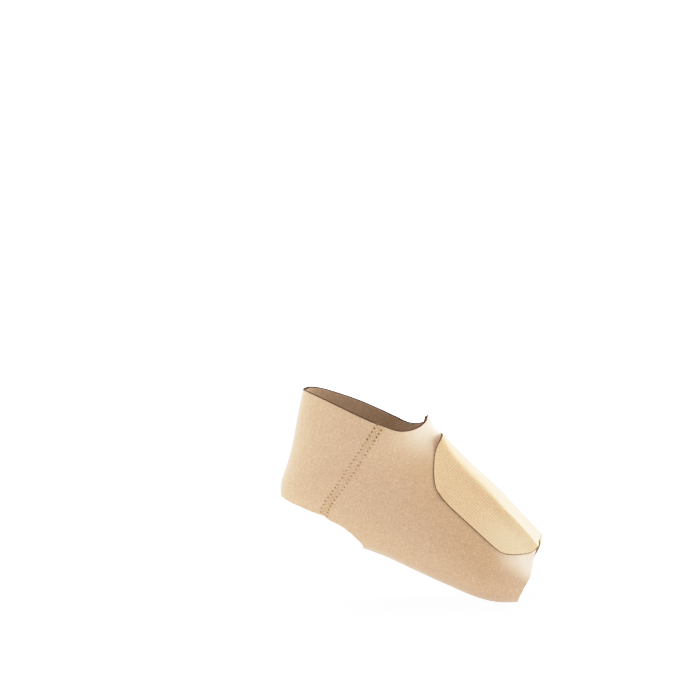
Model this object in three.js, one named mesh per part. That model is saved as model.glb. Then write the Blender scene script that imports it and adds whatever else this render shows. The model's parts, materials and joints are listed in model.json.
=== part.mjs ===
// Foot compression band, open at the heel and the toes, in the form that it has on a right foot
// with a raised heel.
// Millimetres. +X points to the toes, +Y to the inner side of the foot and +Z up the leg.
// The origin is on the inner face of the sole, where the foot stands in the band.
import * as THREE from "three";

// Thicknesses and gaps
const LAMINATE = 2.5; // foam laminate of the foot panel and the heel strap
const TAPE = 1.6; // ribbed tape of the closure tab
const SEAM_GAP = 0.7; // between the two edges at a seam, measured round the section
const GRIP_GAP = 0.35; // between the tab and the panel that it grips
const TIP_LIFT = 1.2; // how far the tab's ankle end stands off beyond that
const TIP_LENGTH = 0.15; // share of the tab's length that lifts

// Steps of each wall's grid
const PANEL_STEPS = { perGuide: 2, along: 20 }; // along it, from the toe edge to the back edge
const STRAP_STEPS = { perGuide: 2, along: 8 }; // from the lower edge to the ankle edge
const TAB_STEPS = { perGuide: 4, along: 14 }; // from the toe end to the ankle end

// Outer form of the band, a row for each section from the toe edge back to the ankle edge.
// The crest is a section's top, on the instep.
// The keel is its foot: the sole, the heel or the back of the ankle.
// Sides, roof and sole are y values, negative on the outer side.
// Levels are shares of the height from keel to crest.
// The crease is how tightly the roof's outer corner is rounded: 1 is a soft curve, and more is tighter.
const SECTION_COLUMNS = [
  "crestX", "crestZ", "keelX", "keelZ", "outer", "inner",
  "roofOuter", "roofInner", "soleOuter", "soleInner", "outerLevel", "innerLevel", "crease",
];
const SECTIONS = [
  [64.8, 27.8, 60.8, -13.0, -52, 52, -22, 34, -40, 40, 0.48, 0.55, 4.0], // toe edge
  [49.4, 44.7, 31.8, -13.5, -51, 50, -18, 32, -38, 36, 0.43, 0.50, 4.0], // ball of the foot
  [32.0, 63.0, -0.9, -2.4, -46, 45, -12, 28, -34, 30, 0.40, 0.48, 4.0], // arch
  [14.7, 78.7, -36.7, 12.5, -42, 42, -8, 24, -30, 28, 0.40, 0.46, 3.5], // back edge of the sole
  [1.4, 92.6, -77.2, 27.0, -40, 41, -8, 20, -27, 26, 0.46, 0.48, 2.2], // under the heel
  [-4.4, 99.0, -113.4, 50.9, -39, 40, -9, 16, -25, 25, 0.56, 0.56, 1.3], // back of the heel
  [-9.2, 104.0, -107.1, 88.0, -39, 39, -10, 15, -20, 20, 0.60, 0.60, 1.0], // above the heel
  [-12.9, 111.8, -98.7, 130.0, -37, 37, -12, 17, -18, 18, 0.62, 0.62, 1.0], // ankle edge
];

// A place on the form is a turn round the section and a station, which counts the rows of SECTIONS.
// The turn is 0 on the crest, grows down the outer side to 0.5 on the keel and up the inner side to 1.
// Guides of the outer half of the foot panel.
// Each is a curve from its toe edge to its back edge, drawn towards a bend between them.
const PANEL_COLUMNS = ["toeTurn", "toeStation", "bendTurn", "bendStation", "backTurn", "backStation"];
const PANEL_GUIDES = [
  [-0.075, 0.00, -0.075, 3.20, -0.075, 6.40], // edge of the outer flap, past the crest
  [0.000, 0.00, 0.000, 3.47, 0.000, 6.94], // crest
  [0.050, 0.00, 0.050, 3.28, 0.050, 6.56],
  [0.100, 0.00, 0.100, 3.10, 0.100, 6.20], // edge of the inner flap, on the other side of the crest
  [0.135, 0.00, 0.137, 3.05, 0.145, 6.10], // lowest place of the ankle edge
  [0.162, 0.00, 0.165, 3.12, 0.183, 6.23],
  [0.186, 0.01, 0.190, 3.31, 0.215, 6.46], // top of the seam
  [0.206, 0.04, 0.212, 3.30, 0.246, 5.74],
  [0.226, 0.08, 0.233, 3.30, 0.270, 5.12],
  [0.248, 0.12, 0.255, 3.30, 0.308, 4.73],
  [0.272, 0.16, 0.278, 3.40, 0.370, 4.41], // foot of the seam
  [0.300, 0.20, 0.303, 3.45, 0.369, 4.14], // side of the heel opening
  [0.335, 0.25, 0.332, 3.25, 0.373, 3.85],
  [0.380, 0.30, 0.372, 2.60, 0.401, 3.57],
  [0.440, 0.32, 0.440, 1.90, 0.450, 3.50],
  [0.500, 0.33, 0.500, 1.90, 0.500, 3.47], // keel
];
const INNER_FLAP_ROW = 3;
const SEAM_TOP_ROW = 6;
const SEAM_FOOT_ROW = 10;
const KEEL_ROW = 15;

// Guides of the outer half of the heel strap, each from its lower edge to the ankle edge.
const STRAP_COLUMNS = ["lowTurn", "lowStation", "topTurn", "topStation"];
const STRAP_GUIDES = [
  [0.370, 4.41, 0.215, 6.46], // seam
  [0.382, 4.57, 0.256, 6.66],
  [0.396, 4.75, 0.310, 6.84],
  [0.420, 4.93, 0.370, 6.95],
  [0.455, 5.08, 0.435, 6.98],
  [0.500, 5.12, 0.500, 6.96], // back of the heel
];

// Guides of the closure tab from its sewn end to its free end, each from its toe end to its ankle end.
const TAB_COLUMNS = ["toeTurn", "toeStation", "ankleTurn", "ankleStation"];
const TAB_GUIDES = [
  [-0.210, 0.06, -0.146, 4.62], // sewn end, on the inner flap
  [-0.110, 0.03, -0.080, 4.80],
  [0.000, 0.01, -0.005, 4.87], // crest
  [0.065, 0.01, 0.061, 4.49], // crease on the outer side of the crest
  [0.116, 0.01, 0.118, 4.04],
  [0.152, 0.15, 0.148, 3.66],
  [0.168, 0.58, 0.161, 3.38],
  [0.192, 1.04, 0.166, 3.13], // free end, on the outer side
];

// Soft hollows of the cloth, each round a place of the form. A swell has a negative depth.
const HOLLOWS = [
  { turn: 0.25, station: 1.2, radius: 17, depth: 1.4 }, // under the tab's free end
  { turn: 0.3, station: 0.75, radius: 13, depth: 0.8 }, // on towards the toe edge
  { turn: 0.195, station: 0, radius: 24, depth: 4.6 }, // behind the little toe
];

const FABRIC = { panel: 0xd6b68f, strap: 0xdfc2a0, tab: 0xe8d0a4 };

// A smooth curve through the rows of a table. It gives the named values at any row number.
function smoothTable(columns, rows) {
  const curve = new THREE.CubicInterpolant(rows.map((_, row) => row), rows.flat(), columns.length);
  return (row) => {
    const values = curve.evaluate(row);
    return Object.fromEntries(columns.map((name, column) => [name, values[column]]));
  };
}

const sectionAt = smoothTable(SECTION_COLUMNS, SECTIONS);
const panelGuideAt = smoothTable(PANEL_COLUMNS, PANEL_GUIDES);
const strapGuideAt = smoothTable(STRAP_COLUMNS, STRAP_GUIDES);
const tabGuideAt = smoothTable(TAB_COLUMNS, TAB_GUIDES);

// The six corners that a section rounds off, from the roof's outer end round to its inner end.
function sectionCorners(section) {
  const keel = new THREE.Vector3(section.keelX, 0, section.keelZ);
  const crest = new THREE.Vector3(section.crestX, 0, section.crestZ);
  const corner = (y, level) => keel.clone().lerp(crest, level).setY(y);
  return [
    corner(section.roofOuter, 1),
    corner(section.outer, section.outerLevel),
    corner(section.soleOuter, 0),
    corner(section.soleInner, 0),
    corner(section.inner, section.innerLevel),
    corner(section.roofInner, 1),
  ];
}

// A point of the outer form.
// A conic rounds each corner, from the middle of one side to the middle of the next.
function formPoint(turn, station) {
  const section = sectionAt(station);
  const corners = sectionCorners(section);
  const progress = THREE.MathUtils.euclideanModulo(turn, 1) * corners.length;
  const index = Math.floor(progress);
  const share = progress - index;
  const neighbours = [index - 1, index, index + 1];
  const [before, corner, after] = neighbours.map((k) => corners.at(k % corners.length));
  const startWeight = (1 - share) ** 2;
  const cornerWeight = 2 * share * (1 - share) * (index === 0 ? section.crease : 1);
  const endWeight = share ** 2;
  return new THREE.Vector3()
    .addScaledVector(before.clone().lerp(corner, 0.5), startWeight)
    .addScaledVector(corner, cornerWeight)
    .addScaledVector(corner.clone().lerp(after, 0.5), endWeight)
    .divideScalar(startWeight + cornerWeight + endWeight);
}

const NEARBY = 1e-3; // in turns or stations, far enough to measure a slope on the form
function formNormal(turn, station) {
  const ahead = formPoint(turn, Math.min(station + NEARBY, SECTIONS.length - 1));
  const along = ahead.sub(formPoint(turn, Math.max(station - NEARBY, 0)));
  const round = formPoint(turn + NEARBY, station).sub(formPoint(turn - NEARBY, station));
  return along.cross(round).normalize();
}

// How far the hollows take the cloth in at a point of the form. Each fades out as a bell curve.
const hollowCentres = HOLLOWS.map(({ turn, station }) => formPoint(turn, station));
function hollowDepth(point) {
  const depths = HOLLOWS.map(({ radius, depth }, k) => {
    const reach = point.distanceTo(hollowCentres[k]) / radius;
    return depth * Math.exp(-2 * reach * reach);
  });
  return depths.reduce((sum, depth) => sum + depth);
}

// A place moved round its section by a length in millimetres.
function shiftRound(place, length) {
  const here = formPoint(place.turn, place.station);
  const speed = formPoint(place.turn + NEARBY, place.station).distanceTo(here) / NEARBY;
  return { turn: place.turn + length / speed, station: place.station };
}

const mixPlaces = (a, b, share) => ({
  turn: THREE.MathUtils.lerp(a.turn, b.turn, share),
  station: THREE.MathUtils.lerp(a.station, b.station, share),
});
const mirrorPlace = (place) => ({ turn: 1 - place.turn, station: place.station });

// A closed wall on a grid of places: columns run round the foot,
// and each lists its places towards the ankle.
// Each place may have its own lift, which is added to both heights off the form.
function wallGeometry(columns, innerHeight, outerHeight) {
  const last = { column: columns.length - 1, place: columns[0].length - 1 };
  const positions = [];
  for (const height of [innerHeight, outerHeight]) {
    for (const { turn, station, lift = 0 } of columns.flat()) {
      const point = formPoint(turn, station);
      point.addScaledVector(formNormal(turn, station), height + lift - hollowDepth(point));
      positions.push(...point.toArray());
    }
  }
  const layerSize = columns.length * columns[0].length;
  const vertex = (layer, i, j) => layer * layerSize + i * columns[0].length + j;
  const triangles = [];
  const quad = (a, b, c, d) => triangles.push(a, b, c, a, c, d);
  for (let i = 0; i < last.column; i++) {
    for (let j = 0; j < last.place; j++) {
      quad(vertex(1, i, j), vertex(1, i, j + 1), vertex(1, i + 1, j + 1), vertex(1, i + 1, j));
      quad(vertex(0, i, j), vertex(0, i + 1, j), vertex(0, i + 1, j + 1), vertex(0, i, j + 1));
    }
  }
  const upTo = (count) => [...Array(count).keys()];
  const border = [
    ...upTo(last.place).map((j) => [0, j]),
    ...upTo(last.column).map((i) => [i, last.place]),
    ...upTo(last.place).map((j) => [last.column, last.place - j]),
    ...upTo(last.column).map((i) => [last.column - i, 0]),
  ];
  border.forEach(([i, j], index) => {
    const [nextI, nextJ] = border[(index + 1) % border.length];
    quad(vertex(1, nextI, nextJ), vertex(1, i, j), vertex(0, i, j), vertex(0, nextI, nextJ));
  });
  const geometry = new THREE.BufferGeometry();
  geometry.setAttribute("position", new THREE.Float32BufferAttribute(positions, 3));
  geometry.setIndex(triangles);
  geometry.computeVertexNormals();
  return geometry;
}

// Row numbers from one guide to another, with the steps between.
function rowSteps(from, to, perGuide) {
  const count = Math.abs(to - from) * perGuide;
  return Array.from({ length: count + 1 }, (_, k) => THREE.MathUtils.lerp(from, to, k / count));
}

const shares = (count) => Array.from({ length: count + 1 }, (_, k) => k / count);

function panelBack(row) {
  const guide = panelGuideAt(row);
  return { turn: guide.backTurn, station: guide.backStation };
}

// One piece of laminate: from the outer flap over the crest, down the outer side, under the sole
// and up to the inner flap.
function footPanel() {
  const guideLine = (row) => {
    const guide = panelGuideAt(row);
    const toe = { turn: guide.toeTurn, station: guide.toeStation };
    const bend = { turn: guide.bendTurn, station: guide.bendStation };
    return shares(PANEL_STEPS.along).map((share) => {
      const nearToe = mixPlaces(toe, bend, share);
      const nearBack = mixPlaces(bend, panelBack(row), share);
      return mixPlaces(nearToe, nearBack, share);
    });
  };
  const outerHalf = rowSteps(0, KEEL_ROW, PANEL_STEPS.perGuide).map(guideLine);
  const innerRows = rowSteps(KEEL_ROW, INNER_FLAP_ROW, PANEL_STEPS.perGuide).slice(1);
  const innerHalf = innerRows.map((row) => guideLine(row).map(mirrorPlace));
  return wallGeometry([...outerHalf, ...innerHalf], -LAMINATE, 0);
}

// The strap round the back of the ankle, butted to the foot panel along a seam on each side.
function heelStrap() {
  const seamPlace = (rise) => panelBack(THREE.MathUtils.lerp(SEAM_FOOT_ROW, SEAM_TOP_ROW, rise));
  const lastRow = STRAP_GUIDES.length - 1;
  const guideLine = (row) => {
    const guide = strapGuideAt(row);
    const low = { turn: guide.lowTurn, station: guide.lowStation };
    const top = { turn: guide.topTurn, station: guide.topStation };
    return shares(STRAP_STEPS.along).map((rise) => {
      const straight = mixPlaces(low, top, rise);
      const seamChord = mixPlaces(seamPlace(0), seamPlace(1), rise);
      const pull = 1 - row / lastRow;
      const place = {
        turn: straight.turn + pull * (seamPlace(rise).turn - seamChord.turn),
        station: straight.station + pull * (seamPlace(rise).station - seamChord.station),
      };
      return shiftRound(place, pull * SEAM_GAP);
    });
  };
  const outerHalf = rowSteps(0, lastRow, STRAP_STEPS.perGuide).map(guideLine);
  const innerRows = rowSteps(lastRow, 0, STRAP_STEPS.perGuide).slice(1);
  const innerHalf = innerRows.map((row) => guideLine(row).map(mirrorPlace));
  return wallGeometry([...outerHalf, ...innerHalf], -LAMINATE, 0);
}

// The tab that closes the band: sewn on the inner flap, drawn over the crest and pressed on the outer side.
function closureTab() {
  const guideLine = (row) => {
    const guide = tabGuideAt(row);
    const toe = { turn: guide.toeTurn, station: guide.toeStation };
    const ankle = { turn: guide.ankleTurn, station: guide.ankleStation };
    return shares(TAB_STEPS.along).map((share) => ({
      ...mixPlaces(toe, ankle, share),
      lift: TIP_LIFT * THREE.MathUtils.smoothstep(share, 1 - TIP_LENGTH, 1),
    }));
  };
  const columns = rowSteps(0, TAB_GUIDES.length - 1, TAB_STEPS.perGuide).map(guideLine);
  return wallGeometry(columns, GRIP_GAP, GRIP_GAP + TAPE);
}

function clothMesh(name, geometry, color) {
  const cloth = new THREE.MeshStandardMaterial({ color, roughness: 0.95, metalness: 0 });
  const mesh = new THREE.Mesh(geometry, cloth);
  mesh.name = name;
  return mesh;
}

const band = new THREE.Group();
band.add(clothMesh("foot_panel", footPanel(), FABRIC.panel));
band.add(clothMesh("heel_strap", heelStrap(), FABRIC.strap));
band.add(clothMesh("closure_tab", closureTab(), FABRIC.tab));

export default band;
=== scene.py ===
import json
import math

import bpy
from mathutils import Matrix, Vector, noise

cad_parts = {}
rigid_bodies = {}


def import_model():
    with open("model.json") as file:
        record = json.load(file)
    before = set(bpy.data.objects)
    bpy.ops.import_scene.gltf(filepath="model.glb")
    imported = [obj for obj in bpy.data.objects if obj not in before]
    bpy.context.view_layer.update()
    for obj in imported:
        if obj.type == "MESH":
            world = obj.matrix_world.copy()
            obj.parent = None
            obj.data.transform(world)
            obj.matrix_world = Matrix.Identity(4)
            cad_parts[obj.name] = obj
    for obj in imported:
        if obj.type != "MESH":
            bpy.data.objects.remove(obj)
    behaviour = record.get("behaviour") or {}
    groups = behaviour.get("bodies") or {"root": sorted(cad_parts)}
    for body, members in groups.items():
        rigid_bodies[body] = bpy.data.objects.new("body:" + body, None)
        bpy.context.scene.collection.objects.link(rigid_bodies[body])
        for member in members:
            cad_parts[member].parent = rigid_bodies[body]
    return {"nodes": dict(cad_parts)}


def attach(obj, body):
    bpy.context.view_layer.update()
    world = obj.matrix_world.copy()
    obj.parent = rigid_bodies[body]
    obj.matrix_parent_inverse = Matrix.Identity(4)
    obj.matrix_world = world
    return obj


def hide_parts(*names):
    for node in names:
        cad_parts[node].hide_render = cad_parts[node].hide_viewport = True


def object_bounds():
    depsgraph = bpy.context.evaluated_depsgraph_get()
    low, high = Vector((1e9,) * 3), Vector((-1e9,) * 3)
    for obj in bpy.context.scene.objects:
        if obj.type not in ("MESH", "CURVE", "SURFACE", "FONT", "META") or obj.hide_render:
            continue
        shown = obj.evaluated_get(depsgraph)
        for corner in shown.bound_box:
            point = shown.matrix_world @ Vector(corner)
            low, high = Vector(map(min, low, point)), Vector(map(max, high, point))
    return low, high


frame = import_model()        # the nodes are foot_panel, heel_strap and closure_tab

cadLow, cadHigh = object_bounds()  # the CAD box, before any cloth is made
bandMiddle = (cadLow + cadHigh) / 2
noise.seed_set(1)  # each run draws the same uneven cuts
print("frame loaded:", ", ".join(sorted(frame["nodes"])))


# small helpers for working on one object at a time

def selectOnly(piece):
    bpy.ops.object.select_all(action="DESELECT")
    piece.select_set(True)
    bpy.context.view_layer.objects.active = piece


def startEdit(piece, selectMode="FACE"):
    selectOnly(piece)
    bpy.ops.object.mode_set(mode="EDIT")
    bpy.ops.mesh.select_mode(type=selectMode)


def endEdit():
    bpy.ops.object.mode_set(mode="OBJECT")


def applyModifier(piece, kind, **settings):
    selectOnly(piece)
    modifier = piece.modifiers.new(kind.title(), kind)
    for setting, value in settings.items():
        setattr(modifier, setting, value)
    bpy.ops.object.modifier_apply(modifier=modifier.name)


def joinPieces(pieces, name):
    bpy.ops.object.select_all(action="DESELECT")
    for piece in pieces:
        piece.select_set(True)
    bpy.context.view_layer.objects.active = pieces[0]
    bpy.ops.object.join()
    joined = bpy.context.view_layer.objects.active
    joined.name = name
    joined.data.name = name
    selectOnly(joined)
    bpy.ops.object.transform_apply(location=True, rotation=True, scale=True)
    return joined


def smoothShade(piece, degrees):
    selectOnly(piece)
    bpy.ops.object.shade_smooth_by_angle(angle=math.radians(degrees))


def moveVertices(piece, moves):
    for vertex, move in zip(piece.data.vertices, moves):
        vertex.co += move


# lines of points

def linePoints(mesh, side):
    return [mesh.vertices[k].co.copy() for k in side]


def lineLength(line):
    return sum((b - a).length for a, b in zip(line, line[1:]))


def nearestOnLine(line, point):
    # the distance from a point to a line of points
    best = 1.0
    for a, b in zip(line, line[1:]):
        share = max(0.0, min(1.0, (point - a).dot(b - a) / (b - a).length_squared))
        best = min(best, (point - a.lerp(b, share)).length)
    return best


def alongLine(line, distance):
    # the point that far along a line of points, and the line's direction there
    for a, b in zip(line, line[1:]):
        step = (b - a).length
        if distance <= step or b is line[-1]:
            return a.lerp(b, distance / step), (b - a).normalized()
        distance -= step


def fallOff(distance, reach):
    # 1 at no distance, and softly down to nothing
    return math.exp(-(distance / reach) ** 2)


# cloth sheets: the outer face of each CAD wall, as clean quads

sheetCut = {"weld": 0.00002, "cutAngle": 65, "corrections": 3}  # only the cut edges are as sharp as that


def outerFace(nodeName, pieceName):
    mesh = frame["nodes"][nodeName].data.copy()
    piece = bpy.data.objects.new(pieceName, mesh)
    bpy.context.scene.collection.objects.link(piece)
    mesh.name = pieceName
    mesh.materials.clear()
    selectOnly(piece)
    bpy.ops.mesh.customdata_custom_splitnormals_clear()
    startEdit(piece, "EDGE")
    bpy.ops.mesh.select_all(action="SELECT")
    bpy.ops.mesh.remove_doubles(threshold=sheetCut["weld"])
    bpy.ops.mesh.mark_sharp(clear=True)
    bpy.ops.mesh.select_all(action="DESELECT")
    bpy.ops.mesh.edges_select_sharp(sharpness=math.radians(sheetCut["cutAngle"]))
    bpy.ops.mesh.mark_sharp()
    bpy.ops.mesh.select_mode(type="FACE")
    bpy.ops.mesh.select_all(action="DESELECT")
    endEdit()
    facingOut = [face for face in mesh.polygons if (face.center - bandMiddle).dot(face.normal) > 0]
    max(facingOut, key=lambda face: face.area).select = True
    startEdit(piece)
    bpy.ops.mesh.select_linked(delimit={"SHARP"})
    bpy.ops.mesh.select_all(action="INVERT")
    bpy.ops.mesh.delete(type="FACE")
    bpy.ops.mesh.select_mode(type="EDGE")
    bpy.ops.mesh.select_all(action="SELECT")
    bpy.ops.mesh.mark_sharp(clear=True)
    bpy.ops.mesh.select_all(action="DESELECT")
    endEdit()
    diagonals = cellDiagonals(mesh)
    for edge in mesh.edges:
        edge.select = edge.key in diagonals
    startEdit(piece, "EDGE")
    bpy.ops.mesh.dissolve_edges(use_verts=False)
    endEdit()
    return piece


def cellDiagonals(mesh):
    # every cell of the grid is two triangles: once two edges of a triangle are known to be
    # grid lines, its third one is the cell's diagonal
    facesOf = {}
    for face in mesh.polygons:
        for edge in face.edge_keys:
            facesOf.setdefault(edge, []).append(face.index)
    gridLines = {edge for edge, faces in facesOf.items() if len(faces) == 1}
    diagonals = set()
    waiting = list(range(len(mesh.polygons)))
    while waiting:
        unknown = [edge for edge in mesh.polygons[waiting.pop()].edge_keys if edge not in gridLines]
        if len(unknown) != 1 or unknown[0] in diagonals:
            continue
        diagonals.add(unknown[0])
        for index in facesOf[unknown[0]]:
            for edge in mesh.polygons[index].edge_keys:
                if edge != unknown[0]:
                    gridLines.add(edge)
                    waiting.extend(facesOf[edge])
    return diagonals


def borderSides(mesh):
    # the sheet's border as four runs of vertex numbers, split at its corners
    used, faceCount = {}, {}
    for face in mesh.polygons:
        for edge in face.edge_keys:
            used[edge] = used.get(edge, 0) + 1
        for vertex in face.vertices:
            faceCount[vertex] = faceCount.get(vertex, 0) + 1
    beside = {}
    for a, b in (edge for edge, count in used.items() if count == 1):
        beside.setdefault(a, []).append(b)
        beside.setdefault(b, []).append(a)
    corners = sorted(vertex for vertex in beside if faceCount[vertex] == 1)
    sides, run = [], [corners[0], beside[corners[0]][0]]
    while True:
        if run[-1] in corners:
            sides.append(run)
            if run[-1] == corners[0]:
                return sides
            run = [run[-1]]
        previous = run[-2] if len(run) > 1 else sides[-1][-2]
        run.append(next(vertex for vertex in beside[run[-1]] if vertex != previous))


def subdivide(piece, levels):
    applyModifier(piece, "SUBSURF", levels=levels, render_levels=levels, boundary_smooth="PRESERVE_CORNERS")


def smoothSheet(piece, levels):
    # smoothing pulls a curved sheet in, so its points are first moved out by as much
    mesh = piece.data
    places = [vertex.co.copy() for vertex in mesh.vertices]
    for _ in range(sheetCut["corrections"]):
        trial = piece.copy()
        trial.data = mesh.copy()
        bpy.context.scene.collection.objects.link(trial)
        subdivide(trial, levels)
        for vertex, place, smoothed in zip(mesh.vertices, places, trial.data.vertices):
            vertex.co += place - smoothed.co
        bpy.data.meshes.remove(trial.data)
    subdivide(piece, levels)


def softenCloth(piece, look):
    # slow swells over the cloth, and a slightly uneven cut along its border
    border = {k for side in borderSides(piece.data) for k in side}
    moves = []
    for vertex in piece.data.vertices:
        move = vertex.normal * noise.noise(vertex.co / look["swellSize"]) * look["swell"]
        if vertex.index in border:
            move += noise.noise_vector(vertex.co / look["ragSize"]) * look["rag"]
        moves.append(move)
    moveVertices(piece, moves)


def pressDents(piece, look):
    # soft hollows: where, how wide and how deep
    moves = []
    for vertex in piece.data.vertices:
        depth = sum(deep * fallOff((vertex.co - Vector(place)).length, wide)
                    for place, wide, deep in look["dents"])
        moves.append(vertex.normal * -depth)
    moveVertices(piece, moves)


def markZones(piece, name, zones):
    # how much of a tone each point has: round a short line, how far from it and how strong
    marks = piece.data.attributes.new(name, "FLOAT", "POINT").data
    for vertex, mark in zip(piece.data.vertices, marks):
        tone = sum(share * fallOff(nearestOnLine([Vector(a), Vector(b)], vertex.co), wide)
                   for a, b, wide, share in zones)
        mark.value = min(1.0, tone)


wallSlots = {"lining": 1, "cutEdge": 2, "ankleEdgeShade": 3}  # materials of a wall, after its cloth


def thicken(piece, look):
    applyModifier(piece, "SOLIDIFY", thickness=look["wall"], offset=-1, use_even_offset=look["evenWall"],
                  use_rim=True, material_offset=wallSlots["lining"], material_offset_rim=wallSlots["cutEdge"])


def roundCutEdges(piece, look, seams):
    # all sharp edges but those where the piece is sewn to the next one
    startEdit(piece, "EDGE")
    bpy.ops.mesh.select_all(action="DESELECT")
    bpy.ops.mesh.edges_select_sharp(sharpness=math.radians(look["edgeAngle"]))
    endEdit()
    mesh = piece.data
    weights = mesh.attributes.new("bevel_weight_edge", "FLOAT", "EDGE")
    for edge in mesh.edges:
        if edge.select:
            middle = (mesh.vertices[edge.vertices[0]].co + mesh.vertices[edge.vertices[1]].co) / 2
            sewn = min(nearestOnLine(line, middle) for line in seams) < look["wall"] * look["sewnWalls"]
            weights.data[edge.index].value = 0 if sewn else 1
    applyModifier(piece, "BEVEL", width=look["rounding"], segments=look["roundSteps"], limit_method="WEIGHT",
                  use_clamp_overlap=True)


# materials

def srgb(red, green, blue):
    def linear(level):
        level /= 255
        return level / 12.92 if level <= 0.04045 else ((level + 0.055) / 1.055) ** 2.4
    return (linear(red), linear(green), linear(blue), 1)


def setSocket(tree, socket, value):
    if isinstance(value, bpy.types.NodeSocket):
        tree.links.new(value, socket)
    else:
        socket.default_value = value


def addNode(tree, kind, inputs=(), **settings):
    node = tree.nodes.new(kind)
    for setting, value in settings.items():
        setattr(node, setting, value)
    for socket, value in dict(inputs).items():
        setSocket(tree, node.inputs[socket], value)
    return node


def newMaterial(name):
    material = bpy.data.materials.new(name)
    material.use_nodes = True
    tree = material.node_tree
    tree.nodes.clear()
    return material, tree


napInputs = ("Grain Scale", "Mottle Scale", "Drift Scale", "Mottle Share")


def makeNapGroup():
    # napped cloth: fine fibre grain with flecks, slow mottling, and a slower drift of its warmth
    group = bpy.data.node_groups.new("clothNap", "ShaderNodeTree")
    face = group.interface
    face.new_socket("Vector", in_out="INPUT", socket_type="NodeSocketVector")
    for socket in napInputs:
        face.new_socket(socket, in_out="INPUT", socket_type="NodeSocketFloat")
    for socket in ("Tone", "Drift", "Fleck", "Height"):
        face.new_socket(socket, in_out="OUTPUT", socket_type="NodeSocketFloat")
    given = group.nodes.new("NodeGroupInput").outputs
    layers = {}
    for layer, detail in (("Grain", 3), ("Mottle", 3), ("Drift", 1)):
        layers[layer] = addNode(group, "ShaderNodeTexNoise",
                                {"Vector": given["Vector"], "Scale": given[layer + " Scale"],
                                 "Detail": detail, "Roughness": 0.6}).outputs["Fac"]
    blend = addNode(group, "ShaderNodeMix",
                    {"Factor": given["Mottle Share"], "A": layers["Grain"], "B": layers["Mottle"]})
    spans = {"Tone": (blend.outputs["Result"], 0.3, 0.7), "Drift": (layers["Drift"], 0.35, 0.65),
             "Fleck": (layers["Grain"], 0.58, 0.7)}
    results = {"Height": layers["Grain"]}
    for result, (value, low, high) in spans.items():
        span = addNode(group, "ShaderNodeMapRange", {"Value": value, "From Min": low, "From Max": high})
        results[result] = span.outputs["Result"]
    addNode(group, "NodeGroupOutput", results)
    return group


napGroup = makeNapGroup()


def mixColours(tree, factor, a, b, **settings):
    mix = addNode(tree, "ShaderNodeMix", data_type="RGBA", **settings)
    sockets = [mix.inputs["Factor"]] + [socket for socket in mix.inputs if socket.type == "RGBA"]
    for socket, value in zip(sockets, (factor, a, b)):
        setSocket(tree, socket, value)
    return next(socket for socket in mix.outputs if socket.type == "RGBA")


def grooveShadeMask(tree, place, ribs):
    # painted shade in the rib grooves: 0 on the crest of each rib, and up to the ribs' depth in the groove
    # between two
    along = addNode(tree, "ShaderNodeVectorMath", {0: place, 1: ribs["direction"]}, operation="DOT_PRODUCT")
    turn = addNode(tree, "ShaderNodeMath", {0: along.outputs["Value"], 1: 2 * math.pi / ribs["pitch"]},
                   operation="MULTIPLY")
    wave = addNode(tree, "ShaderNodeMath", {0: turn.outputs["Value"]}, operation="COSINE")
    grooveShade = addNode(tree, "ShaderNodeMapRange",
                     {"Value": wave.outputs["Value"], "From Min": 0.5, "From Max": -1,
                      "To Max": ribs["depth"]})
    return grooveShade.outputs["Result"]


def napMaterial(name, look):
    # a napped or ribbed cloth: two tones, a drift of warmth, flecks, tints, painted shade and painted
    # highlights, fibre bump and sheen
    material, tree = newMaterial(name)
    place = addNode(tree, "ShaderNodeTexCoord").outputs["Object"]
    nap = addNode(tree, "ShaderNodeGroup", node_tree=napGroup)
    tree.links.new(place, nap.inputs["Vector"])
    for socket in napInputs:
        nap.inputs[socket].default_value = look[socket]
    colour = mixColours(tree, nap.outputs["Tone"], look["dark"], look["light"])
    colour = mixColours(tree, nap.outputs["Drift"], colour, look["warmth"], blend_type="MULTIPLY")
    colour = mixColours(tree, nap.outputs["Fleck"], colour, look["fleck"], blend_type="MULTIPLY")
    # painted shade beside the tab, then a tint over both ends of each seam
    for tone in ("paintedShade", "tack"):
        share = addNode(tree, "ShaderNodeAttribute", attribute_name=tone).outputs["Fac"]
        colour = mixColours(tree, share, colour, look[tone], blend_type="MULTIPLY")
    # painted highlight: the colour is paled in the marked zones
    paintedHighlight = addNode(tree, "ShaderNodeAttribute", attribute_name="paintedHighlight").outputs["Fac"]
    colour = mixColours(tree, paintedHighlight, colour, look["paintedHighlight"])
    if "ribs" in look:
        colour = mixColours(tree, grooveShadeMask(tree, place, look["ribs"]), colour, look["ribs"]["grooveShade"],
                            blend_type="MULTIPLY")
    bump = addNode(tree, "ShaderNodeBump",
                   {"Height": nap.outputs["Height"], "Strength": look["bump"], "Distance": 0.0004})
    shader = addNode(tree, "ShaderNodeBsdfPrincipled",
                     {"Base Color": colour, "Roughness": 0.95, "Specular IOR Level": 0.1,
                      "Sheen Weight": look["sheen"], "Sheen Roughness": 0.4, "Sheen Tint": (1, 1, 1, 1),
                      "Normal": bump.outputs["Normal"]})
    addNode(tree, "ShaderNodeOutputMaterial", {"Surface": shader.outputs["BSDF"]})
    return material


# wrapLook also gives the colours of the painted highlight and of the painted shade beside the tab
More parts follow.
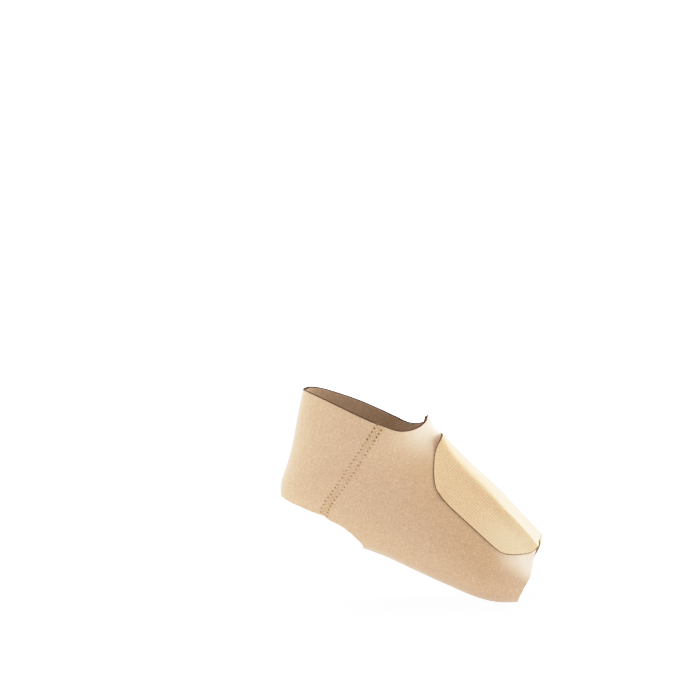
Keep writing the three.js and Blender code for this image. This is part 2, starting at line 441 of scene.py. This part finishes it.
wrapLook = {"Grain Scale": 1100, "Mottle Scale": 260, "Drift Scale": 35, "Mottle Share": 0.15,
            "dark": srgb(192, 159, 128), "light": srgb(220, 188, 159), "warmth": (1, 0.99, 0.97, 1),
            "fleck": (1.12, 1.12, 1.13, 1), "paintedShade": (0.965, 0.915, 0.81, 1), "tack": (0.93, 0.94, 0.82, 1),
            "paintedHighlight": srgb(255, 228, 203), "bump": 0.3, "sheen": 0.5}
liningLook = dict(wrapLook, dark=srgb(156, 131, 107), light=srgb(182, 155, 129), paintedHighlight=srgb(169, 143, 118),
                  sheen=0.2)
cutFoamLook = dict(wrapLook, dark=srgb(206, 180, 148), light=srgb(232, 208, 178), paintedHighlight=srgb(240, 214, 186),
                   sheen=0.1, bump=0.5)
# painted shade: the ankle edge's cut face and its thread are dark brown
ankleEdgeShadeLook = dict(wrapLook, dark=srgb(62, 43, 33), light=srgb(84, 61, 47), paintedHighlight=srgb(73, 52, 40),
                     sheen=0, bump=0.5)
wrapFabric = napMaterial("wrapFabric", wrapLook)
wrapLining = napMaterial("wrapLining", liningLook)
cutFoam = napMaterial("cutFoam", cutFoamLook)
ankleEdgeShade = napMaterial("ankleEdgeShade", ankleEdgeShadeLook)


# foot panel and heel strap

wrapCloth = {"levels": 2, "wall": 0.0024, "evenWall": True, "rounding": 0.0005, "roundSteps": 2,
             "edgeAngle": 60, "sewnWalls": 1.1, "swell": 0.0003, "swellSize": 0.022,
             "rag": 0.00015, "ragSize": 0.003, "smoothAngle": 55}
panelCloth = dict(wrapCloth, node="foot_panel", name="foot_panel_cloth", flat=(0.25, 0.18), area=0.032,
                  dents=[((0.062, -0.031, 0.016), 0.012, 0.0003)],
                  paintedHighlight=[((0.063, -0.029, 0.021), (0.049, -0.0375, 0.0215), 0.009, 0.6),  # painted highlights, at the toe edge and the ankle front
                        ((0.063, -0.029, 0.021), (0.0615, -0.0355, 0.012), 0.0095, 0.85),
                        ((-0.014, -0.010, 0.102), (-0.008, 0, 0.100), 0.016, 0.7)],
                  paintedShade=[((-0.010, -0.021, 0.079), (0.032, -0.042, 0.024), 0.02, 0.85),  # painted shade beside the tab
                       ((-0.009, -0.010, 0.095), (-0.009, -0.018, 0.083), 0.004, 1)])
strapCloth = dict(wrapCloth, node="heel_strap", name="heel_strap_cloth", flat=(0.175, 0.075), area=0.0099)
seamFit = {"sink": 0.0002, "sinkWidth": 0.0035, "tack": 0.017, "tackWidth": 0.0028,
           "evenReach": 0.012, "evenPasses": 40, "evenShare": 0.5, "evenLeast": 0.02, "evenSpread": 2.5,
           "evenDepth": 0.01}
ankleThread = {"name": "ankle_edge_shade_thread", "thread": 0.0004, "sink": 0.0003}

footPanel = outerFace(panelCloth["node"], panelCloth["name"])
heelStrap = outerFace(strapCloth["node"], strapCloth["name"])
wrapSheets = ((footPanel, panelCloth), (heelStrap, strapCloth))


def seamSides(mesh):
    # the strap's two seam edges lie lengthwise, so they hardly cross the foot
    def spread(side):
        across = [mesh.vertices[k].co.y for k in side]
        return max(across) - min(across)
    return sorted(borderSides(mesh), key=spread)[:2]


def seamPairs():
    # each point of the strap's seam edges with the panel's point that it is sewn to, side by side
    panel, strap = footPanel.data, heelStrap.data
    panelBorder = [k for side in borderSides(panel) for k in side]
    def mate(k):
        return min(panelBorder, key=lambda p: (panel.vertices[p].co - strap.vertices[k].co).length)
    return [[(k, mate(k)) for k in side] for side in seamSides(strap)]


def drawTogether(pairs, strapStart=0, panelStart=0):
    for k, mate in (pair for side in pairs for pair in side):
        sewn = (heelStrap.data.vertices[strapStart + k], footPanel.data.vertices[panelStart + mate])
        middle = (sewn[0].co + sewn[1].co) / 2
        for vertex in sewn:
            vertex.co = middle


def keepSeamCorners(pairs):
    # the panel's back edge turns sharply where a seam begins and ends
    corners = footPanel.data.attributes.new("crease_vert", "FLOAT", "POINT")
    for side in pairs:
        for _, mate in (side[0], side[-1]):
            corners.data[mate].value = 1


def sinkSeam(piece, line):
    # the stitches draw the cloth in a little on each side of the seam
    moves = []
    for vertex in piece.data.vertices:
        reach = min(1.0, nearestOnLine(line, vertex.co) / seamFit["sinkWidth"])
        moves.append(vertex.normal * -seamFit["sink"] * (1 - reach * reach) ** 2)
    moveVertices(piece, moves)


def ankleRing(pairs):
    # the points of the ankle edge in turn: panel, strap, panel
    panel, strap = footPanel.data, heelStrap.data
    tops = [max((side[0], side[-1]), key=lambda pair: strap.vertices[pair[0]].co.z) for side in pairs]
    panelEdge = next(side for side in borderSides(panel) if tops[0][1] in side)
    tops.sort(key=lambda pair: panelEdge.index(pair[1]))
    strapEnds = {k for k, _ in tops}
    strapEdge = next(side for side in borderSides(strap) if {side[0], side[-1]} == strapEnds)
    if strapEdge[0] != tops[0][0]:
        strapEdge.reverse()
    first, last = (panelEdge.index(mate) for _, mate in tops)
    ring = [panel.vertices[k] for k in panelEdge[:first]]
    ring += [strap.vertices[k] for k in strapEdge]
    return ring + [panel.vertices[k] for k in panelEdge[last + 1:]]


def evenAnkleEdge(ring, tops):
    # the edge runs on evenly past the top of each seam, and the cloth below it follows
    reach = seamFit["evenReach"]
    before = [vertex.co.copy() for vertex in ring]
    places = list(before)
    loose = [sum(fallOff((place - top).length, reach) for top in tops) for place in before]
    for _ in range(seamFit["evenPasses"]):
        for k in range(1, len(places) - 1):
            between = (places[k - 1] + places[k + 1]) / 2
            places[k] = places[k].lerp(between, loose[k] * seamFit["evenShare"])
    moved = [(start, place - start) for start, place, free in zip(before, places, loose)
             if free > seamFit["evenLeast"]]
    for piece in (footPanel, heelStrap):
        for vertex in piece.data.vertices:
            if min((vertex.co - top).length for top in tops) < reach * seamFit["evenSpread"]:
                start, move = min(moved, key=lambda entry: (entry[0] - vertex.co).length)
                vertex.co += move * fallOff((start - vertex.co).length, seamFit["evenDepth"])


pairs = seamPairs()
drawTogether(pairs)
keepSeamCorners(pairs)
for piece, look in wrapSheets:
    smoothSheet(piece, look["levels"])
    softenCloth(piece, look)
pressDents(footPanel, panelCloth)
# painted highlights on the panel
markZones(footPanel, "paintedHighlight", panelCloth["paintedHighlight"])
pairs = seamPairs()
drawTogether(pairs)
ring = ankleRing(pairs)
seamTops = [max(linePoints(heelStrap.data, [k for k, _ in side]), key=lambda place: place.z)
            for side in pairs]
evenAnkleEdge(ring, seamTops)
drawTogether(pairs)
seamLines = [linePoints(heelStrap.data, side) for side in seamSides(heelStrap.data)]
for line in seamLines:
    if line[0].z < line[-1].z:  # from the ankle edge down to the heel
        line.reverse()
    for piece in (footPanel, heelStrap):
        sinkSeam(piece, line)
tackZones = []
for line in seamLines:
    length = lineLength(line)
    for span in ((0, seamFit["tack"]), (length - seamFit["tack"], length)):
        ends = [alongLine(line, distance)[0] for distance in span]
        tackZones.append((*ends, seamFit["tackWidth"], 1))
# painted shade on the panel beside the tab
markZones(footPanel, "paintedShade", panelCloth["paintedShade"])
for piece in (footPanel, heelStrap):
    markZones(piece, "tack", tackZones)
ringLine = [vertex.co - vertex.normal * ankleThread["sink"] for vertex in ring]
print("wrap sheets:", len(footPanel.data.polygons), "and", len(heelStrap.data.polygons), "faces")


# closure tab

tabTape = {"node": "closure_tab", "name": "closure_tab_tape", "flat": (0.11, 0.095), "area": 0.009,
           "levels": 1, "wall": 0.00045, "evenWall": False, "smoothAngle": 55,
           "height": 0.0006, "press": 0.0012, "facing": 0.95, "evenPasses": 8, "evenShare": 0.5,
           "fold": ((-0.002, -0.008, 0.094), (0.0643, -0.024, 0.0265)), "overrun": 0.2,
           "foldLift": (0.003, 0.0021), "faceReach": 0.01, "roofReach": 0.0095,
           "corner": (-0.0025, -0.005, 0.0965), "cornerLift": 0.0021, "cornerReach": 0.008,
           "ribPitch": 0.0016, "ribHeight": 0.0002, "ribEnd": 0.0025, "sliver": 0.00015,
           "swell": 0.00012, "swellSize": 0.02, "rag": 0.0001, "ragSize": 0.004,
           # painted highlight toward the tape's toe end
           "paintedHighlight": [((0.052, -0.033, 0.028), (0.045, -0.035, 0.030), 0.02, 0.5)]}
# the dark edge thread's swelling at the tape's corner is painted shade
tabThread = {"name": "tab_edge_and_shade_thread", "thread": 0.00028, "sink": 0.00025, "cornerShade": 0.9, "cornerShadeReach": 0.007}
tabCorner = Vector(tabTape["corner"])
crestLine = Vector((-0.70, 0, 0.714)).normalized()  # from the toes to the ankle, along the instep


def layOnPanel(piece, look):
    # the tape lies on the panel; over the slit between the flaps it keeps the same height
    places = []
    for vertex in piece.data.vertices:
        _, below, normal, _ = footPanel.closest_point_on_mesh(vertex.co)
        if (vertex.co - below).normalized().dot(normal) > look["facing"]:
            places.append(below + normal * look["height"])
        else:
            places.append(vertex.co - vertex.normal * look["press"])
    for vertex, place in zip(piece.data.vertices, places):
        vertex.co = place


def evenBorder(piece, border, look):
    # the tape's cut edge runs evenly and turns softly at its corners
    for _ in range(look["evenPasses"]):
        places = linePoints(piece.data, border)
        for k in range(1, len(border) - 1):
            between = (places[k - 1] + places[k + 1]) / 2
            piece.data.vertices[border[k]].co = places[k].lerp(between, look["evenShare"])


def creaseFold(piece, look):
    # the tape turns over the instep at a crisp fold: one cut along it, and the cloth beside it lifted
    start, end = (Vector(place) for place in look["fold"])
    course = end - start
    _, _, outward, _ = piece.closest_point_on_mesh((start + end) / 2)
    toRoof = outward.cross(course).normalized()
    startEdit(piece)
    bpy.ops.mesh.select_all(action="SELECT")
    bpy.ops.mesh.bisect(plane_co=start, plane_no=toRoof)
    bpy.ops.mesh.mark_sharp()
    bpy.ops.mesh.select_all(action="DESELECT")
    endEdit()
    fold = [start - course * look["overrun"], end + course * look["overrun"]]
    topLift, toeLift = look["foldLift"]
    lifts = []
    for vertex in piece.data.vertices:
        offset = vertex.co - start
        reach = look["roofReach"] if offset.dot(toRoof) > 0 else look["faceReach"]
        share = max(0.0, min(1.0, offset.dot(course) / course.length_squared))
        height = topLift + share * (toeLift - topLift)
        rise = height * max(0.0, 1 - nearestOnLine(fold, vertex.co) / reach) ** 2
        curl = fallOff((vertex.co - tabCorner).length, look["cornerReach"])
        lifts.append(vertex.normal * (rise + look["cornerLift"] * curl))
    moveVertices(piece, lifts)


def cutRibs(piece, look, border):
    # ribs across the tape: a cut on each crest and in each groove, then crests up and grooves down
    along = [vertex.co.dot(crestLine) for vertex in piece.data.vertices]
    step = look["ribPitch"] / 2
    startEdit(piece)
    for k in range(math.ceil(min(along) / step), math.floor(max(along) / step) + 1):
        bpy.ops.mesh.select_all(action="SELECT")
        bpy.ops.mesh.bisect(plane_co=crestLine * k * step, plane_no=crestLine)
    bpy.ops.mesh.select_all(action="SELECT")
    bpy.ops.mesh.remove_doubles(threshold=look["sliver"])
    bpy.ops.mesh.select_all(action="DESELECT")
    endEdit()
    ribs = []
    for vertex in piece.data.vertices:
        turn = 2 * math.pi * vertex.co.dot(crestLine) / look["ribPitch"]
        fade = min(1.0, min(nearestOnLine(side, vertex.co) for side in border) / look["ribEnd"])
        ribs.append(vertex.normal * look["ribHeight"] * fade * math.cos(turn))
    moveVertices(piece, ribs)
    return ribs


def smoothBack(piece, ribs):
    # the tape's back has no ribs
    for vertex, rib in zip(list(piece.data.vertices)[len(ribs):], ribs):
        vertex.co -= rib


def meanAcross(mesh, side):
    return sum(point.y for point in linePoints(mesh, side)) / len(side)


closureTab = outerFace(tabTape["node"], tabTape["name"])
smoothSheet(closureTab, tabTape["levels"])
softenCloth(closureTab, tabTape)
layOnPanel(closureTab, tabTape)
tabSides = borderSides(closureTab.data)
sewnSide = max(tabSides, key=lambda side: meanAcross(closureTab.data, side))  # on the inner flap
first = tabSides.index(sewnSide) + 1
freeSides = tabSides[first:] + tabSides[:first - 1]
freeBorder = [k for side in freeSides for k in side[:-1]] + [sewnSide[0]]
evenBorder(closureTab, freeBorder, tabTape)
creaseFold(closureTab, tabTape)
sewnEnd, freeEdge = (linePoints(closureTab.data, border) for border in (sewnSide, freeBorder))
tabRibs = cutRibs(closureTab, tabTape, (sewnEnd, freeEdge))
# painted highlight toward the tape's toe end
markZones(closureTab, "paintedHighlight", tabTape["paintedHighlight"])
print("tab sheet:", len(closureTab.data.polygons), "faces")


# stitches and edge threads

seamStitch = {"pitch": 0.0029, "half": 0.00225, "inset": 0, "margin": 0.0008, "bends": (0.2, 0.5, 0.8),
              "tack": 0.014, "tackHalf": 0.9, "tackRise": 2,
              "thread": 0.00016, "rise": 0.00006, "dip": 0.0002, "smoothAngle": 50,
              "hole": 0.0003, "holeSides": 8, "holeTop": 0.9, "holeLip": 0.35, "holeDish": 0.5, "slit": 3.2}
sewnEndStitch = dict(seamStitch, half=0.0013, inset=0.0045, margin=0.003, tack=0.006)
edgeSmoothAngle = 80


def onCloth(cloths, point):
    found = [cloth.closest_point_on_mesh(point) for cloth in cloths]
    _, place, normal, _ = min(found, key=lambda hit: (hit[1] - point).length)
    return place, normal


def zigzagNeedles(line, cloths, look, start, end):
    # where the needle goes in, by turns on either side of the line
    needles = []
    for k in range(math.floor((end - start) / look["pitch"] * 2) + 1):
        middle, direction = alongLine(line, start + k * look["pitch"] / 2)
        _, normal = onCloth(cloths, middle)
        across = normal.cross(direction).normalized()
        side = look["half"] if k % 2 else -look["half"]
        needles.append((*onCloth(cloths, middle + across * (side + look["inset"])), across))
    return needles


def threadPath(needles, look):
    points = []
    for (a, normalA, _), (b, normalB, _) in zip(needles, needles[1:]):
        up = (normalA + normalB).normalized()
        points.append(a - normalA * look["dip"])
        points.extend(a.lerp(b, share) + up * look["rise"] for share in look["bends"])
    points.append(needles[-1][0] - needles[-1][1] * look["dip"])
    return points


def makeThread(name, path, look, radii=None):
    curve = bpy.data.curves.new(name, "CURVE")
    curve.dimensions = "3D"
    curve.bevel_depth = look["thread"]
    curve.bevel_resolution = 1
    curve.use_fill_caps = True
    spline = curve.splines.new("POLY")
    spline.points.add(len(path) - 1)
    for point, place in zip(spline.points, path):
        point.co = (*place, 1)
    for point, radius in zip(spline.points, radii or ()):
        point.radius = radius
    thread = bpy.data.objects.new(name, curve)
    bpy.context.scene.collection.objects.link(thread)
    selectOnly(thread)
    bpy.ops.object.convert(target="MESH")
    return bpy.context.view_layer.objects.active


def edgeThread(look, path, material, radii=None):
    thread = makeThread(look["name"], path, look, radii)
    thread.data.materials.append(material)
    smoothShade(thread, edgeSmoothAngle)
    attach(thread, "root")
    return thread


def makeNeedleHole(look):
    # a shallow dished slit for one stitch hole, coloured dark as painted shade
    bpy.ops.object.select_all(action="DESELECT")
    bpy.ops.mesh.primitive_cylinder_add(vertices=look["holeSides"], radius=look["hole"], depth=look["hole"])
    hole = bpy.context.object
    for face in hole.data.polygons:
        face.select = face.normal.z > look["holeTop"]
    startEdit(hole)
    bpy.ops.mesh.inset(thickness=look["hole"] * look["holeLip"])
    bpy.ops.transform.translate(value=(0, 0, -look["hole"] * look["holeDish"]))
    bpy.ops.mesh.select_all(action="SELECT")
    bpy.ops.transform.resize(value=(look["slit"], 1, 1))
    endEdit()
    return hole


def stitchRow(name, line, cloths, look, threadMaterial, holeShadeMaterial):
    length = lineLength(line)
    ends = (look["margin"], length - look["margin"])
    rows = [zigzagNeedles(line, cloths, look, *ends)]
    tack = dict(look, half=look["half"] * look["tackHalf"], rise=look["rise"] * look["tackRise"])
    shift = look["pitch"] / 4  # sewn over twice at both ends, between the first stitches
    tackRows = [zigzagNeedles(line, cloths, tack, ends[0] + shift, look["tack"]),
                zigzagNeedles(line, cloths, tack, length - look["tack"], ends[1] - shift)]
    threads = [makeThread(name, threadPath(rows[0], look), look)]
    threads += [makeThread(name, threadPath(row, tack), look) for row in tackRows]
    for thread in threads:
        thread.data.materials.append(threadMaterial)
    model = makeNeedleHole(look)
    model.data.materials.append(holeShadeMaterial)
    holes = []
    for place, normal, across in (needle for row in rows + tackRows for needle in row):
        hole = model.copy()
        hole.data = model.data.copy()
        bpy.context.scene.collection.objects.link(hole)
        across = (across - normal * across.dot(normal)).normalized()
        turned = Matrix((across, normal.cross(across), normal)).transposed()
        hole.matrix_world = Matrix.Translation(place) @ turned.to_4x4()
        holes.append(hole)
    bpy.data.objects.remove(model)
    stitches = joinPieces(threads + holes, name)
    smoothShade(stitches, look["smoothAngle"])
    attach(stitches, "root")
    return stitches


threadLook = dict(wrapLook, dark=srgb(222, 190, 156), light=srgb(240, 210, 178), bump=0.6)
# the tape's cut edge and edge thread are dark olive brown: partly their own colour, partly painted shade
# along the edge
tabEdgeAndShadeLook = dict(wrapLook, dark=srgb(78, 61, 36), light=srgb(104, 83, 52), sheen=0)
# the dark colour of the stitch holes is painted shade
holeShadeLook = dict(wrapLook, dark=srgb(136, 110, 76), light=srgb(158, 131, 95), sheen=0)
seamThread = napMaterial("seamThread", threadLook)
tabEdgeAndShade = napMaterial("tabEdgeAndShade", tabEdgeAndShadeLook)
needleHoleShade = napMaterial("needleHoleShade", holeShadeLook)
seamRows = []
for line in seamLines:
    name = "outer_seam_stitches" if line[0].y < 0 else "inner_seam_stitches"
    seamRows.append(stitchRow(name, line, (footPanel, heelStrap), seamStitch, seamThread, needleHoleShade))
tabRow = stitchRow("tab_end_stitches", sewnEnd, (closureTab,), sewnEndStitch, seamThread, needleHoleShade)
# a thread round the ankle edge, dark brown as painted shade
ankleShadeThread = edgeThread(ankleThread, ringLine, ankleEdgeShade)
tabPath = []
for point in freeEdge:
    place, normal = onCloth((closureTab,), point)
    tabPath.append(place - normal * tabThread["sink"])
# the edge thread thickens at the lifted corner, a dark painted shade for the gap under it
tabCornerShadeRadii = [1 + tabThread["cornerShade"] * fallOff((place - tabCorner).length, tabThread["cornerShadeReach"])
            for place in tabPath]
tabEdgeAndShadeThread = edgeThread(tabThread, tabPath, tabEdgeAndShade, tabCornerShadeRadii)
print("stitches:", [len(row.data.polygons) for row in (*seamRows, tabRow, ankleShadeThread, tabEdgeAndShadeThread)])


# thickness and finish of the three sheets

# the rib grooves are darkened by a painted shade
tabRibLook = {"direction": crestLine, "pitch": tabTape["ribPitch"], "depth": 0.7,
              "grooveShade": (0.8, 0.74, 0.62, 1)}
tabLook = dict(wrapLook, dark=srgb(231, 189, 148), light=srgb(252, 214, 176), paintedHighlight=srgb(255, 228, 196),
               ribs=tabRibLook)
tabFabric = napMaterial("tabFabric", tabLook)
wrapMaterials = (wrapFabric, wrapLining, cutFoam, ankleEdgeShade)
for piece, materials in ((footPanel, wrapMaterials), (heelStrap, wrapMaterials),
                         (closureTab, (tabFabric, tabFabric, tabEdgeAndShade))):
    for material in materials:
        piece.data.materials.append(material)
strapPoints, panelPoints = len(heelStrap.data.vertices), len(footPanel.data.vertices)
for piece, look in (*wrapSheets, (closureTab, tabTape)):
    thicken(piece, look)
drawTogether(pairs, strapPoints, panelPoints)  # the lining meets along the seams too
smoothBack(closureTab, tabRibs)
# the cut edge round the ankle opening takes the dark painted shade; the other cut edges stay pale foam
for piece, look in wrapSheets:
    for face in piece.data.polygons:
        onCut = face.material_index == wallSlots["cutEdge"]
        if onCut and nearestOnLine(ringLine, face.center) < look["wall"]:
            face.material_index = wallSlots["ankleEdgeShade"]
    roundCutEdges(piece, look, seamLines)
wrapRows = [*seamRows, ankleShadeThread]
for piece, look, slot, rows in ((footPanel, panelCloth, "wrap_fabric", wrapRows),
                                (heelStrap, strapCloth, "wrap_fabric", wrapRows),
                                (closureTab, tabTape, "tab_fabric", [tabRow, tabEdgeAndShadeThread])):
    smoothShade(piece, look["smoothAngle"])
    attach(piece, "root")
    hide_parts(look["node"])
print("sheets finished")


# floor, light and camera

studio = {"floorDrop": 0.0004, "floorRadius": 1.3, "floorSides": 128, "floorGlow": 0.55, "floorSeen": 0.75,
          "fill": 0.39, "lampSize": 1.2, "lampAim": (0, 0, 0.05),
          "shoulder": 0.55, "white": 2.4, "toneSteps": 12, "toneSpread": 1.5,
          "eye": (0.15587, -1.58141, 0.30661), "downTilt": 5.4, "turn": 8, "lens": 120, "sensor": 36}


def seenLevel(tree, lit, seen):
    # one brightness for the light that a surface gives, another for the camera
    path = addNode(tree, "ShaderNodeLightPath")
    level = addNode(tree, "ShaderNodeMapRange",
                    {"Value": path.outputs["Is Camera Ray"], "To Min": lit, "To Max": seen})
    return level.outputs["Result"]


bpy.ops.object.select_all(action="DESELECT")
bpy.ops.mesh.primitive_circle_add(vertices=studio["floorSides"], radius=studio["floorRadius"],
                                  fill_type="NGON", location=(0, 0, cadLow.z - studio["floorDrop"]))
floor = bpy.context.object
floor.name = "studioFloor"
floorPaint, floorTree = newMaterial("floorPaint")
floorLevel = seenLevel(floorTree, studio["floorGlow"], studio["white"] * studio["floorSeen"])
floorShader = addNode(floorTree, "ShaderNodeBsdfPrincipled",
                      {"Base Color": (0.5, 0.5, 0.5, 1), "Roughness": 1, "Specular IOR Level": 0,
                       "Emission Color": (1, 1, 1, 1), "Emission Strength": floorLevel})
addNode(floorTree, "ShaderNodeOutputMaterial", {"Surface": floorShader.outputs["BSDF"]})
floor.data.materials.append(floorPaint)

lamps = [  # name, place and power in watts, each aimed at the band
    ("backLeftLamp", (-0.73, 0.73, 1.28), 23),
    ("backTopLamp", (0, 1.03, 1.28), 16.4),
    ("backRightLamp", (0.73, 0.73, 1.28), 9.8),
    ("lowRightLamp", (1.11, 1.11, 0.38), 18.6),
    ("rightLamp", (1.57, 0, 0.38), 19.3),
    ("leftLamp", (-1.57, 0, 0.38), 7.8),
    ("frontLeftLamp", (-1.11, -1.11, 0.38), 10.2),
]
for name, place, power in lamps:
    bpy.ops.object.light_add(type="AREA", location=place)
    lamp = bpy.context.object
    lamp.name = name
    lamp.data.shape = "DISK"
    lamp.data.size = studio["lampSize"]
    lamp.data.energy = power
    lamp.rotation_euler = (Vector(studio["lampAim"]) - Vector(place)).to_track_quat("-Z", "Y").to_euler()

world = bpy.data.worlds.new("studioLight")
world.use_nodes = True
worldTree = world.node_tree
backdrop = worldTree.nodes["Background"]
backdrop.inputs["Color"].default_value = (1, 1, 1, 1)
worldTree.links.new(seenLevel(worldTree, studio["fill"], studio["white"]), backdrop.inputs["Strength"])
bpy.context.scene.world = world


def setTone(view, shoulder, white):
    # bright cloth pales gently before it turns white
    view.view_transform = "Standard"
    view.use_curve_mapping = True
    tone = view.curve_mapping
    tone.white_level = (white, white, white)
    curve = tone.curves[3]  # the one for all three colours
    for step in range(studio["toneSteps"]):
        level = shoulder + (white - shoulder) * (step / studio["toneSteps"]) ** studio["toneSpread"]
        curve.points.new(level / white, 1 - (1 - shoulder) * math.exp((shoulder - level) / (1 - shoulder)))
    for point in curve.points:
        point.handle_type = "VECTOR"
    tone.update()


setTone(bpy.context.scene.view_settings, studio["shoulder"], studio["white"])

bpy.ops.object.camera_add(location=studio["eye"])
camera = bpy.context.object
camera.rotation_euler = (math.radians(90 - studio["downTilt"]), 0, math.radians(studio["turn"]))
camera.data.lens = studio["lens"]
camera.data.sensor_width = studio["sensor"]
bpy.context.scene.camera = camera
print("studio set")
